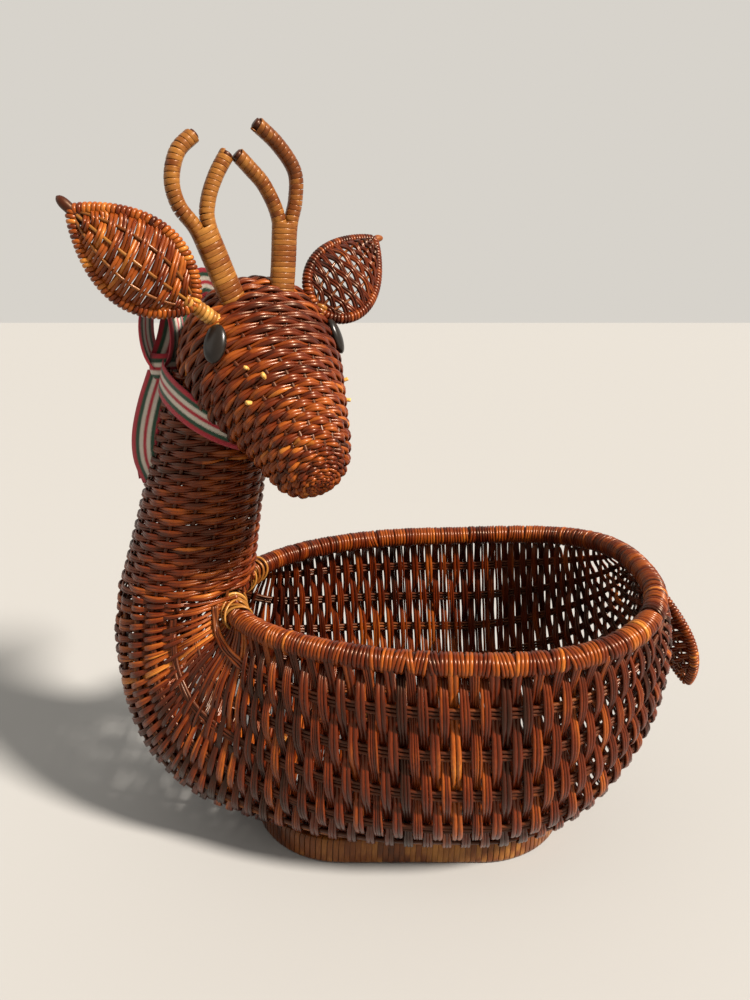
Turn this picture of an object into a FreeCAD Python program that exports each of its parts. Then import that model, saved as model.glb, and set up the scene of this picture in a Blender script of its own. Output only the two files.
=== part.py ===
import FreeCAD, Part
import math
import os

# A rib-woven wicker basket in the shape of a standing deer.
# Frame: +Z up, the table is z = 0.  The body lies along X with the neck at -X
# and the tail at +X; the deer turns its head to look out along -Y.
# Every point is worked out about the middle of the rim hoop, and each sub-part's
# Placement then carries it to the object's own origin, the middle of its base.

V = FreeCAD.Vector
doc = FreeCAD.newDocument("wicker_deer_basket")
sheet = doc.addObject("Spreadsheet::Sheet", "sizes")

SIZES = {
    # rim hoop: an egg-shaped superellipse, wider and higher at the tail
    "hoop_half_length": 120.0, "hoop_half_width": 89.0, "hoop_egg": 0.15,
    "hoop_power": 2.39, "hoop_height": 141.7, "hoop_neck_rise": -1.8,
    "hoop_tail_rise": 12.2, "hoop_rod_radius": 4.3, "hoop_wrap": 1.8,
    # keel outline: breast quarter, straight bottom, tail quarter
    "neck_front_x": -184.0, "neck_base_z": 150.0, "breast_x": -66.0,
    "breast_z": 122.0, "breast_reach": 122.5, "keel_depth": 110.0,
    "breast_power": 2.45, "tail_x": 28.0, "tail_z": 118.0,
    "tail_reach": 101.0, "tail_depth": 106.0, "tail_power": 1.9,
    # woven skin and the ribs inside it
    "skin_half": 1.5, "rib_radius": 1.7, "rib_inset": 3.5,
    # foot ring
    "foot_x": -16.0, "foot_half_length": 95.0, "foot_half_width": 65.6,
    "foot_corner": 55.0, "foot_height": 17.0, "foot_thick": 9.5, "foot_wrap": 1.5,
    # neck tube
    "neck_base_x": -147.0, "neck_lean": 29.0, "neck_turn": -8.0,
    "neck_rise": 120.0, "neck_radius": 37.0, "neck_taper": 8.5,
    "stake_radius": 1.3,
    # head: a cone of rings along a tilted, turned axis
    "head_x": -114.8, "head_y": 11.8, "head_z": 301.3, "head_turn": 31.5,
    "head_dip": 40.0, "head_length": 119.0, "head_skin": 3.0,
    "eye_long": 9.5, "eye_wide": 6.0, "eye_thick": 3.2,
    # antlers
    "antler_rod": 2.4, "antler_wrap": 1.3,
    # ears and tail: leaf frames
    "leaf_rod": 2.3, "leaf_rib": 1.3, "leaf_skin": 0.9, "stem_radius": 3.0,
    # ribbon
    "ribbon_width": 15.5, "ribbon_thick": 0.9,
    # where the object's own origin lies from the middle of the hoop
    "origin_x": -16.18, "origin_y": 0.0,
}
for row, (alias, value) in enumerate(SIZES.items(), start=1):
    sheet.set("A%d" % row, alias)
    sheet.set("B%d" % row, "%g" % value)
    sheet.setAlias("B%d" % row, alias)
doc.recompute()


def mm(alias):
    return float(getattr(sheet, alias))


subparts = []


def keep(feature, label):
    """Name a finished sub-part and carry it to the object's origin."""
    feature.Label = label
    feature.setExpression(".Placement.Base.x", "-sizes.origin_x")
    feature.setExpression(".Placement.Base.y", "-sizes.origin_y")
    subparts.append(feature)
    return feature


def solid_feature(label, shape):
    """A sub-part whose free-form shape comes straight from Part."""
    if shape.Volume < 0:
        shape.reverse()
    feature = doc.addObject("Part::Feature", label)
    feature.Shape = Part.Compound([shape])
    return keep(feature, label)


# ---------------------------------------------------------------- curves

def power(value, exponent):
    return math.copysign(abs(value) ** exponent, value)


def ease(value):
    value = min(1.0, max(0.0, value))
    return value * value * (3 - 2 * value)


def through(stations, place):
    """Smooth curve with no overshoot through (place, value) stations."""
    xs = [station[0] for station in stations]
    ys = [station[1] for station in stations]
    place = min(xs[-1], max(xs[0], place))
    slopes = [(ys[i + 1] - ys[i]) / (xs[i + 1] - xs[i]) for i in range(len(xs) - 1)]
    inner = [2 * a * b / (a + b) if a * b > 0 else 0.0 for a, b in zip(slopes, slopes[1:])]
    tangents = [slopes[0]] + inner + [slopes[-1]]
    i = max(k for k in range(len(xs) - 1) if xs[k] <= place)
    gap = xs[i + 1] - xs[i]
    k = (place - xs[i]) / gap
    return ((2 * k ** 3 - 3 * k * k + 1) * ys[i] + (k ** 3 - 2 * k * k + k) * gap * tangents[i]
            + (3 * k * k - 2 * k ** 3) * ys[i + 1] + (k ** 3 - k * k) * gap * tangents[i + 1])


def interpolated(points, closed=False):
    curve = Part.BSplineCurve()
    curve.interpolate(Points=points, PeriodicFlag=closed)
    return curve


def frames_along(points, closed=False, upright=None):
    """Unit tangents and side vectors at each point of a path, untwisted when open."""
    count = len(points)
    tangents = []
    for i in range(count):
        ahead = points[(i + 1) % count] if closed else points[min(i + 1, count - 1)]
        behind = points[i - 1] if closed else points[max(i - 1, 0)]
        tangents.append((ahead - behind).normalize())
    if closed:
        return tangents, [upright.cross(tangent).normalize() for tangent in tangents]
    start = V(0, 0, 1) if abs(tangents[0].z) < 0.9 else V(1, 0, 0)
    side = start.cross(tangents[0]).normalize()
    sides = []
    for tangent in tangents:
        side = side - tangent * side.dot(tangent)
        side.normalize()
        sides.append(V(side))
    return tangents, sides


def rod(name, points, radius, closed=False, upright=V(0, 0, 1)):
    """Round rod lofted through rings along a path; radius is a sheet expression."""
    tangents, sides = frames_along(points, closed, upright)
    rings = []
    for i, (point, tangent, side) in enumerate(zip(points, tangents, sides)):
        ring = doc.addObject("Part::Circle", "%s_ring_%d" % (name, i))
        ring.setExpression("Radius", radius)
        turn = FreeCAD.Rotation(side, tangent.cross(side), tangent, "ZXY")
        ring.Placement = FreeCAD.Placement(point, turn)
        rings.append(ring)
    loft = doc.addObject("Part::Loft", name)
    loft.Sections = rings
    loft.Solid = True
    loft.Closed = closed
    return loft


def cut(name, base, tool):
    feature = doc.addObject("Part::Cut", name)
    feature.Base = base
    feature.Tool = tool
    return feature


def resampled(points, count):
    """Evenly spaced points on the smooth curve through the given ones."""
    return [V(p) for p in interpolated(points).discretize(Number=count)]


def patch(outer, inner):
    """Closed skin between two grids of points."""
    faces = []
    for grid in (outer, inner):
        surface = Part.BSplineSurface()
        surface.interpolate(grid)
        faces.append(surface.toShape())
    for edge_a, edge_b in zip(faces[0].Edges, faces[1].Edges):
        faces.append(Part.makeRuledSurface(edge_a, edge_b))
    sewn = Part.Compound(faces)
    sewn.sewShape()
    return Part.Solid(sewn.Shells[0])


def offset_grid(surface, rows, columns, distance):
    """Grid of points a distance outside surface(u, v)."""
    step = 1e-3
    grid = []
    for u in rows:
        line = []
        for v in columns:
            along = surface(u + step, v) - surface(u - step, v)
            across = surface(u, v + step) - surface(u, v - step)
            line.append(surface(u, v) + across.cross(along).normalize() * distance)
        grid.append(line)
    return grid


def spaced(start, end, count):
    return [start + (end - start) * i / (count - 1) for i in range(count)]


# ---------------------------------------------------------------- rim hoop

def hoop_rise(cosine):
    rise = mm("hoop_neck_rise") if cosine < 0 else mm("hoop_tail_rise")
    return mm("hoop_height") + rise * cosine * cosine


def hoop_point(angle):
    """Centre line of the hoop: 0 at the tail, a half turn at the neck, near side first."""
    c = math.cos(angle)
    s = math.sin(angle)
    p = 2 / mm("hoop_power")
    wide = mm("hoop_half_width") * (1 + mm("hoop_egg") * c)
    return V(mm("hoop_half_length") * power(c, p), -wide * power(s, p), hoop_rise(c))


def hoop_at(x):
    """Half width and height of the hoop at station x."""
    c = power(x / mm("hoop_half_length"), mm("hoop_power") / 2)
    s = math.sqrt(1 - c * c)
    wide = mm("hoop_half_width") * (1 + mm("hoop_egg") * c)
    return wide * s ** (2 / mm("hoop_power")), hoop_rise(c)


HOOP_POINTS = 32
hoop_points = [hoop_point(2 * math.pi * (i + 0.5) / HOOP_POINTS) for i in range(HOOP_POINTS)]
hoop_rod = rod("hoop_rod", hoop_points, "sizes.hoop_rod_radius", closed=True)
hoop_sleeve = rod("hoop_sleeve", hoop_points, "sizes.hoop_rod_radius + sizes.hoop_wrap",
                  closed=True)
hoop_hollow = rod("hoop_hollow", hoop_points, "sizes.hoop_rod_radius", closed=True)
keep(hoop_rod, "rim_hoop")
keep(cut("hoop_wrapping_cut", hoop_sleeve, hoop_hollow), "rim_wrapping")


# ---------------------------------------------------------------- woven body

KEEL_STEPS = 60


def keel_outline():
    """Points of the keel in the X-Z plane, from the neck's front to the rear rim."""
    points = [V(mm("neck_front_x"), 0, mm("neck_base_z"))]
    for i in range(KEEL_STEPS):
        a = math.pi / 2 * i / (KEEL_STEPS - 1)
        p = 2 / mm("breast_power")
        points.append(V(mm("breast_x") - mm("breast_reach") * power(math.cos(a), p), 0,
                        mm("breast_z") - mm("keel_depth") * power(math.sin(a), p)))
    tail_turn = math.pi / 2 * 1.2
    for i in range(KEEL_STEPS):
        a = tail_turn * i / (KEEL_STEPS - 1)
        p = 2 / mm("tail_power")
        points.append(V(mm("tail_x") + mm("tail_reach") * power(math.sin(a), p), 0,
                        mm("tail_z") - mm("tail_depth") * power(math.cos(a), p)))
    return points


keel_points = keel_outline()
keel_runs = [0.0]
for a, b in zip(keel_points, keel_points[1:]):
    keel_runs.append(keel_runs[-1] + (b - a).Length)


def keel(u):
    """Keel point at the fraction u of its length."""
    run = min(1.0, max(0.0, u)) * keel_runs[-1]
    i = max(k for k in range(len(keel_runs) - 1) if keel_runs[k] <= run)
    share = (run - keel_runs[i]) / (keel_runs[i + 1] - keel_runs[i])
    return keel_points[i] + (keel_points[i + 1] - keel_points[i]) * share


# where on the hoop each row of weaving starts, against its place on the keel:
# the rows fan out at the breast, run straight across the body and fan in at the tail
ROW_STARTS = [(0, -116.5), (0.12, -115), (0.24, -111.5), (0.32, -104.5), (0.37, -94),
              (0.45, -62), (0.6, 11), (0.7, 59), (0.8, 93), (0.9, 109), (1, 117)]
NECK_LIFT = 10.0


def body_point(u, v):
    """Woven body: u runs from the neck to the tail, v from near rim to far rim."""
    u = min(1.0, max(0.0, u))
    x = through(ROW_STARTS, u)
    width, z = hoop_at(x)
    top = V(x, 0, z - 1 + NECK_LIFT * (1 - ease(u / 0.12)))
    bottom = keel(u)
    spare = 30 + 21 * ease(u / 0.3) - 37 * ease((u - 0.35) / 0.6)
    widest = (width ** 2.4 + spare ** 2.4) ** (1 / 2.4)
    n = 2 + 1.5 * ease(u / 0.35) - 1.3 * ease((u - 0.6) / 0.4)
    sweep = math.pi - math.asin((width / widest) ** (n / 2))
    depth = bottom - top
    reach = depth.Length / (1 - power(math.cos(sweep), 2 / n))
    down = V(depth).normalize()
    centre = bottom - down * reach
    angle = v * sweep
    return (centre + down * (reach * power(math.cos(angle), 2 / n))
            + V(0, 1, 0) * (widest * power(math.sin(angle), 2 / n)))


ROW_SAMPLES = 48


def row_runs(u):
    """Lengths along one half row from the near rim down to the keel."""
    places = spaced(-1.0, 0.0, ROW_SAMPLES)
    points = [body_point(u, v) for v in places]
    runs = [0.0]
    for a, b in zip(points, points[1:]):
        runs.append(runs[-1] + (b - a).Length)
    return places, runs


def row_place(u, share):
    """The v that lies at a share of the half row's length: -1 at the rim, 0 at the keel."""
    places, runs = row_runs(u)
    target = (1 - abs(share)) * runs[-1]
    i = max(k for k in range(len(runs) - 1) if runs[k] <= target)
    k = (target - runs[i]) / (runs[i + 1] - runs[i])
    v = places[i] + (places[i + 1] - places[i]) * k
    return math.copysign(v, share)


BODY_ROWS = spaced(0.004, 0.996, 26)
SKIN_COLUMNS = 21


def body_columns(u):
    """Evenly spaced columns that stop clear of the wrapped hoop."""
    _, runs = row_runs(u)
    margin = mm("hoop_rod_radius") + mm("hoop_wrap") + mm("skin_half") + 0.5
    edge = 1 - margin / runs[-1]
    return [row_place(u, share) for share in spaced(-edge, edge, SKIN_COLUMNS)]


SKIN_STEP = 0.03


def skin_grid(distance):
    """Grid a distance outside the body, its directions averaged over a short way."""
    grid = []
    for u in BODY_ROWS:
        low = max(0.0, u - SKIN_STEP)
        high = min(1.0, u + SKIN_STEP)
        line = []
        for v in body_columns(u):
            along = body_point(high, v) - body_point(low, v)
            across = body_point(u, v + SKIN_STEP) - body_point(u, v - SKIN_STEP)
            outward = across.cross(along).normalize()
            line.append(body_point(u, v) + outward * distance)
        grid.append(line)
    return grid


solid_feature("body_weave", patch(skin_grid(mm("skin_half")), skin_grid(-mm("skin_half"))))

# side ribs and keel rib, laid against the inside of the weave at even spaces
RIB_SHARES = {1: 0.88, 2: 0.76, 3: 0.64, 4: 0.52, 5: 0.40, 6: 0.27, 7: 0.14}
RIB_STATIONS = spaced(0.06, 0.93, 16)


def rib_path(share):
    path = []
    for u in RIB_STATIONS:
        v = row_place(u, share)
        path.append(offset_grid(body_point, [u], [v], -mm("rib_inset"))[0][0])
    return path


keep(rod("keel_rib", rib_path(0.0), "sizes.rib_radius"), "keel_rib")
for number, share in RIB_SHARES.items():
    for side_name, sign in (("near", -1), ("far", 1)):
        label = "%s_rib_%d" % (side_name, number)
        keep(rod(label, rib_path(sign * share), "sizes.rib_radius"), label)


# ---------------------------------------------------------------- foot ring

def rounded_ring_block(name, inset, low, high):
    """Rounded block; inset shrinks it from the ring's outer side."""
    box = doc.addObject("Part::Box", name + "_box")
    box.setExpression("Length", "2 * (sizes.foot_half_length - (%s))" % inset)
    box.setExpression("Width", "2 * (sizes.foot_half_width - (%s))" % inset)
    box.setExpression("Height", "(%s) - (%s)" % (high, low))
    box.setExpression(".Placement.Base.x", "sizes.foot_x - sizes.foot_half_length + (%s)" % inset)
    box.setExpression(".Placement.Base.y", "-sizes.foot_half_width + (%s)" % inset)
    box.setExpression(".Placement.Base.z", low)
    doc.recompute()
    radius = mm("foot_corner") - box.evalExpression(inset)
    upright = [i for i, edge in enumerate(box.Shape.Edges, start=1)
               if abs(edge.tangentAt(edge.FirstParameter).z) > 0.9]
    block = doc.addObject("Part::Fillet", name)
    block.Base = box
    block.Edges = [(i, radius, radius) for i in upright]
    return block


core_low = "sizes.foot_wrap"
core_high = "sizes.foot_height - sizes.foot_wrap"
foot_core = cut("foot_core_cut",
                rounded_ring_block("core_outside", "sizes.foot_wrap", core_low, core_high),
                rounded_ring_block("core_inside", "sizes.foot_thick - sizes.foot_wrap",
                                   core_low, core_high))
foot_band = cut("foot_band_cut",
                rounded_ring_block("band_outside", "0", "0", "sizes.foot_height"),
                rounded_ring_block("band_inside", "sizes.foot_thick", "0",
                                   "sizes.foot_height"))
foot_wrapping = cut("foot_wrapping_cut", foot_band, foot_core)
keep(foot_core, "foot_hoop")
keep(foot_wrapping, "foot_wrapping")


# ---------------------------------------------------------------- neck

def neck_ring(z):
    """Centre and radius of the neck at height z."""
    k = (z - mm("neck_base_z")) / mm("neck_rise")
    centre = V(mm("neck_base_x") + mm("neck_lean") * k, mm("neck_turn") * k * k, z)
    radius = mm("neck_radius") - (13 * k - 4.5 * k * k) * mm("neck_taper") / 8.5
    return centre, radius


def neck_loft(offset, low, high):
    rings = []
    for z in spaced(low, high, 7):
        centre, radius = neck_ring(z)
        rings.append(Part.Wire(Part.makeCircle(radius + offset, centre, V(0, 0, 1))))
    return Part.makeLoft(rings, True, False)


# ---------------------------------------------------------------- head

turn = math.radians(mm("head_turn"))
dip = math.radians(mm("head_dip"))
HEAD_AXIS = V(math.sin(turn) * math.cos(dip), -math.cos(turn) * math.cos(dip), -math.sin(dip))
HEAD_SIDE = V(math.cos(turn), math.sin(turn), 0)
HEAD_UP = V(math.sin(turn) * math.sin(dip), -math.cos(turn) * math.sin(dip), math.cos(dip))
HEAD_START = V(mm("head_x"), mm("head_y"), mm("head_z"))
# half width and half height of the head along its axis, from nape to nose
HEAD_WIDTHS = [(0, 0), (0.022, 16.5), (0.087, 31), (0.19, 39.5), (0.31, 42), (0.45, 39),
               (0.58, 34), (0.72, 28.5), (0.84, 24), (0.93, 18.5), (0.98, 10.5), (1, 5)]
HEAD_HEIGHTS = [(0, 0), (0.022, 15.5), (0.087, 29), (0.19, 36), (0.31, 37.5), (0.45, 35),
                (0.58, 31), (0.72, 26), (0.84, 22.5), (0.93, 17.5), (0.98, 9.5), (1, 5)]


def head_point(k, angle, offset=0.0):
    """Head surface: k from nape to nose, angle round the axis from the crown."""
    wide = through(HEAD_WIDTHS, k) + offset
    tall = through(HEAD_HEIGHTS, k) + offset
    return (HEAD_START + HEAD_AXIS * (k * mm("head_length"))
            + HEAD_SIDE * (wide * math.sin(angle)) + HEAD_UP * (tall * math.cos(angle)))


def head_loft(offset, first, last):
    rings = []
    for k in spaced(first, last, 15):
        loop = [head_point(k, 2 * math.pi * i / 12, offset) for i in range(12)]
        rings.append(Part.Wire(interpolated(loop, closed=True).toShape()))
    return Part.makeLoft(rings, True, False)


def largest(shape):
    return max(shape.Solids, key=lambda solid: solid.Volume)


head_outside = head_loft(0.0, 0.015, 0.992)
head_inside = head_loft(-mm("head_skin"), 0.04, 0.965)
solid_feature("head_weave", largest(head_outside.cut(head_inside)))

neck_outside = neck_loft(mm("skin_half"), mm("neck_base_z") + 0.4, 276)
neck_inside = neck_loft(-mm("skin_half"), mm("neck_base_z") - 1, 278)
neck_shell = neck_outside.cut(neck_inside).cut(head_outside)
solid_feature("neck_weave", largest(neck_shell))

# lengthwise head ribs inside the head's weave
HEAD_RIBS = 9
head_ribs = []
for i in range(HEAD_RIBS):
    angle = 2 * math.pi * (i + 0.5) / HEAD_RIBS
    inset = -mm("head_skin") - mm("leaf_rib") - 0.4
    path = [head_point(k, angle, inset) for k in spaced(0.16, 0.88, 8)]
    head_ribs.append(rod("head_rib_%d" % i, path, "sizes.leaf_rib"))
doc.recompute()
solid_feature("head_ribs", Part.Compound([rib.Shape for rib in head_ribs]))

# upright stakes inside the neck's weave
NECK_STAKES = 17
stakes = []
for i in range(NECK_STAKES):
    angle = 2 * math.pi * i / NECK_STAKES
    path = []
    for z in spaced(mm("neck_base_z") + 1, 234, 6):
        centre, radius = neck_ring(z)
        radius -= mm("skin_half") + mm("stake_radius") + 0.3
        path.append(centre + V(math.cos(angle), math.sin(angle), 0) * radius)
    stakes.append(rod("neck_stake_%d" % i, path, "sizes.stake_radius"))
doc.recompute()
solid_feature("neck_stakes", Part.Compound([stake.Shape for stake in stakes]))

# bead eyes, one each side, lying flat against the head
EYE_PLACE = 0.415
EYE_ANGLE = 0.95
for label, angle in (("eye_left", EYE_ANGLE), ("eye_right", -EYE_ANGLE)):
    step = 0.01
    along = (head_point(EYE_PLACE + step, angle) - head_point(EYE_PLACE - step, angle)).normalize()
    around = head_point(EYE_PLACE, angle + step) - head_point(EYE_PLACE, angle - step)
    outward = around.cross(along).normalize()
    if outward.dot(head_point(EYE_PLACE, angle) - HEAD_START - HEAD_AXIS * 50) < 0:
        outward = outward * -1
    bead = doc.addObject("Part::Ellipsoid", label + "_bead")
    bead.setExpression("Radius1", "sizes.eye_thick")
    bead.setExpression("Radius2", "sizes.eye_wide")
    bead.setExpression("Radius3", "sizes.eye_long")
    centre = head_point(EYE_PLACE, angle) + outward * (mm("eye_thick") * 0.7)
    upward = V(0, 0, 1) - outward * outward.z
    upward.normalize()
    side = upward.cross(outward)
    bead.Placement = FreeCAD.Placement(centre, FreeCAD.Rotation(side, upward, outward, "ZXY"))
    doc.recompute()
    solid_feature(label, largest(bead.Shape.cut(head_outside)))


# ---------------------------------------------------------------- antlers

CROWN = V(-92.6, -22.7, 312.2)


def antler_plane(points):
    """Points (side, height) in the upright plane across the crown."""
    return [CROWN + HEAD_SIDE * side + V(0, 0, height) for side, height in points]


# each antler is two rods wrapped together in the beam that part at the fork
ANTLERS = {
    "right": {"outer": [(-15.5, -12), (-24.8, 11), (-32, 28.5), (-39.5, 38.5), (-42, 49.5),
                        (-38.5, 61.5), (-30, 69.5)],
              "inner": [(-9.5, -12), (-19.2, 13), (-26, 31), (-25.7, 41), (-21.3, 52.2),
                        (-14.8, 62.5)]},
    "left": {"outer": [(11.5, -12), (14.2, 11), (16, 31), (19.2, 43.5), (19.2, 56.3),
                       (10.8, 67.7), (-0.6, 76.6)],
             "inner": [(5.6, -12), (8.4, 11), (10, 33), (3.6, 48.3), (-4.1, 56.6),
                       (-10.6, 62.6)]},
}


def beam_path(outer, inner):
    """Middle line of the wrapped pair, from below the crown to the fork."""
    return [(a + b) * 0.5 for a, b in zip(outer[:3], inner[:3])]


for antler, tines in ANTLERS.items():
    outer_points = antler_plane(tines["outer"])
    inner_points = antler_plane(tines["inner"])
    beam = resampled(beam_path(outer_points, inner_points), 5)
    paths = {"outer": resampled(outer_points, 14), "inner": resampled(inner_points, 12)}
    rods = {name: rod("%s_%s_rod" % (antler, name), path, "sizes.antler_rod")
            for name, path in paths.items()}
    wraps = {}
    for name, path in paths.items():
        last = path[-1] - (path[-1] - path[-2]).normalize() * 1.5
        covered = [point for point in path[:-1] if point.z > beam[-1].z - 4] + [last]
        wraps[name] = rod("%s_%s_sleeve" % (antler, name), covered,
                          "sizes.antler_rod + sizes.antler_wrap")
    doc.recompute()
    both = rods["outer"].Shape.fuse(rods["inner"].Shape)
    rings = []
    across = HEAD_SIDE
    for point in beam:
        ellipse = Part.Ellipse(V(0, 0, 0), 6.6, 4.4).toShape()
        ellipse.Placement = FreeCAD.Placement(
            point, FreeCAD.Rotation(across, V(0, 0, 1).cross(across), V(0, 0, 1), "ZXY"))
        rings.append(Part.Wire(ellipse))
    beam_solid = Part.makeLoft(rings, True, False)
    solid_feature("antler_%s_beam_wrap" % antler,
                  largest(beam_solid.cut(both).cut(head_outside)))
    inner_rod = rods["inner"].Shape.cut(rods["outer"].Shape).cut(head_outside)
    outer_rod = rods["outer"].Shape.cut(head_outside)
    solid_feature("antler_%s_outer_rod" % antler, largest(outer_rod))
    solid_feature("antler_%s_inner_rod" % antler, largest(inner_rod))
    blocked = both.fuse(beam_solid)
    outer_wrap = wraps["outer"].Shape.cut(blocked)
    inner_wrap = wraps["inner"].Shape.cut(blocked).cut(wraps["outer"].Shape)
    solid_feature("antler_%s_outer_wrap" % antler, largest(outer_wrap))
    solid_feature("antler_%s_inner_wrap" % antler, largest(inner_wrap))


# ---------------------------------------------------------------- leaves: ears and tail

def unit(x, y, z):
    return V(x, y, z).normalize()


def leaf(name, base, tip, across, length_bow, half_width, cup):
    """A woven leaf: closed frame, midrib and dished weave between them."""
    along = (tip - base).normalize()
    across = (across - along * across.dot(along)).normalize()
    front = along.cross(across)
    length = (tip - base).Length

    def place(k, side, lift=0.0):
        """k from base to tip, side from -1 to 1 across the leaf."""
        wide = half_width * math.sin(math.pi * min(1, max(0, k)) ** 0.85) ** 0.8
        bow = length_bow * math.sin(math.pi * k)
        dish = cup * math.sin(math.pi * k) * (side * side - 1)
        return (base + along * (k * length) + across * (side * wide)
                + front * (bow + dish + lift))

    stations = 14
    loop = [place(k, -1) for k in spaced(0, 1, stations)]
    loop += [place(k, 1) for k in reversed(spaced(0, 1, stations)[1:-1])]
    frame_rod = rod(name + "_frame_rod", loop, "sizes.leaf_rod", closed=True, upright=front)
    doc.recompute()
    frame = frame_rod.Shape.copy()
    keep(frame_rod, name + "_frame")
    rib_low = mm("leaf_skin") + mm("leaf_rib") + 0.3
    rib = rod(name + "_midrib_rod", [place(k, 0, -rib_low) for k in spaced(0.07, 0.9, 7)],
              "sizes.leaf_rib")
    doc.recompute()
    solid_feature(name + "_midrib", largest(rib.Shape.cut(frame)))
    rows = spaced(0.06, 0.94, 11)
    columns = spaced(-1, 1, 9)
    upper = [[place(k, side, mm("leaf_skin")) for side in columns] for k in rows]
    lower = [[place(k, side, -mm("leaf_skin")) for side in columns] for k in rows]
    weave = largest(patch(upper, lower).cut(frame))
    solid_feature(name + "_weave", weave)
    return frame


left_base = V(-122.0, -46.5, 307.4)
left_tip = V(-175.5, -56.5, 352.0)
right_base = V(-63.5, -4.0, 301.5)
right_tip = V(-35.3, 50.0, 339.0)
leaf("ear_right", left_base, left_tip, unit(0.625, 0.113, 0.773), -3.0, 19.0, 9.0)
leaf("ear_left", right_base, right_tip, unit(0.78, 0.02, -0.62), -3.0, 19.5, 9.0)
leaf("tail", V(133.5, 0, 146), V(154, -4, 80), V(0, 1, 0), 9.0, 17.0, 5.0)

# stems that carry the ears from the head's side
for label, start, end in (("ear_right_stem", V(-110.0, -38.0, 296.0), left_base),
                          ("ear_left_stem", V(-70.0, -10.0, 290.0), right_base)):
    direction = (end - start).normalize()
    path = [start + (end - start - direction * 2.6) * (i / 3) for i in range(4)]
    stem = rod(label + "_rod", path, "sizes.stem_radius")
    doc.recompute()
    solid_feature(label, largest(stem.Shape.cut(head_outside)))


# ---------------------------------------------------------------- ribbon

def strip(centre_line, width_way, thick_way):
    """Flat tape along a line; the two callables give its width and face directions."""
    half = mm("ribbon_width") / 2
    layers = []
    for face in (0.5, -0.5):
        grid = []
        for i, point in enumerate(centre_line):
            wide = width_way(i)
            face_way = thick_way(i)
            grid.append([point + wide * (half * side)
                         + face_way * (mm("ribbon_thick") * face) for side in (-1, 0, 1)])
        layers.append(grid)
    return patch(layers[0], layers[1])


COLLAR_GAP = 1.6
COLLAR_LOW = 233.0
COLLAR_RISE = 34.0
collar_line = []
collar_out = []
for angle in spaced(math.radians(-170), math.radians(170), 25):
    z = COLLAR_LOW + COLLAR_RISE * (0.5 - 0.5 * math.cos(angle)) ** 1.3
    centre, radius = neck_ring(z)
    outward = V(math.cos(angle), math.sin(angle), 0)
    collar_line.append(centre + outward * (radius + mm("skin_half") + COLLAR_GAP))
    collar_out.append(outward)
NECK_WAY = unit(mm("neck_lean"), mm("neck_turn"), mm("neck_rise"))
collar = strip(collar_line, lambda i: NECK_WAY, lambda i: collar_out[i])
solid_feature("ribbon_collar", largest(collar.cut(head_outside)))

KNOT = V(-155.5, -6.0, 268.0)
knot = doc.addObject("Part::Ellipsoid", "knot_ball")
knot.Radius1 = 5.5
knot.Radius2 = 5.0
knot.Radius3 = 6.5
knot.Placement = FreeCAD.Placement(KNOT, FreeCAD.Rotation())
doc.recompute()
solid_feature("ribbon_knot", largest(knot.Shape.cut(collar)))


def ribbon_piece(label, points, wide):
    """Tape along the given points, its width as near to one direction as it can be."""
    line = resampled(points, 13)
    tangents, _ = frames_along(line)
    shape = strip(line, lambda i: (wide - tangents[i] * wide.dot(tangents[i])).normalize(),
                  lambda i: tangents[i].cross(wide).normalize())
    solid_feature(label, largest(shape.cut(knot.Shape)))


def bow_loop(label, reach, spread, wide):
    """One loop of the bow: out of the knot, over and back."""
    points = []
    for t in spaced(0.12, 0.88, 15):
        out = 0.5 - 0.5 * math.cos(2 * math.pi * t)
        points.append(KNOT + reach * out + spread * math.sin(2 * math.pi * t))
    ribbon_piece(label, points, wide)


bow_loop("ribbon_loop_front", V(0, -6, 38), V(-7, 0, 0), V(0, 1, 0.16))
bow_loop("ribbon_loop_back", V(30, 24, 46), V(-4, 5, 0), V(0.7, 0.6, -0.7))
ribbon_piece("ribbon_tail_left",
             [KNOT + V(*p) for p in ((-1, -3, -5), (-6, -8, -18), (-9, -10, -34),
                                     (-9, -9, -48), (-6, -7, -60))], V(0.8, -0.6, 0))
ribbon_piece("ribbon_tail_right",
             [KNOT + V(*p) for p in ((-2, 3, -5), (-8, 6, -20), (-13, 7, -38),
                                     (-14, 6, -50), (-13, 5, -62))], V(0.9, 0.4, 0))


# ---------------------------------------------------------------- lashings and ties

def lashing(label, angle, turns, spread):
    """Strand loops that bind the hoop to the neck, as small closed rings."""
    rings = []
    for i in range(turns):
        at = angle + spread * (i - (turns - 1) / 2)
        point = hoop_point(at)
        tangent = (hoop_point(at + 0.01) - hoop_point(at - 0.01)).normalize()
        band = Part.makeTorus(mm("hoop_rod_radius") + mm("hoop_wrap") + 1.2, 1.0, point, tangent)
        rings.append(band)
    solid_feature(label, Part.Compound(rings))


lashing("rim_lashing_near", math.pi * 0.915, 4, 0.035)
lashing("rim_lashing_far", math.pi * 1.085, 4, 0.035)

# wire-like strands that tie the foot ring to the lowest ribs
TIE_RADIUS = 0.9
TIES = ((-72, -1), (40, -1), (-72, 1), (40, 1))
ties = []
for x, side in TIES:
    y = side * (mm("foot_half_width") - mm("foot_thick") / 2)
    reach = mm("foot_thick") / 2 + TIE_RADIUS + 0.2
    tie = Part.makeCylinder(TIE_RADIUS, 5.0, V(x, y - side * (reach + 1.5), 14), V(0, 0, 1))
    ties.append(tie)
solid_feature("foot_ties", Part.Compound(ties))

# ---------------------------------------------------------------- check and write

doc.recompute()
for item in doc.Objects:
    if "Invalid" in item.State or "Error" in item.State:
        raise RuntimeError("failed object: %s" % item.Name)

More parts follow.
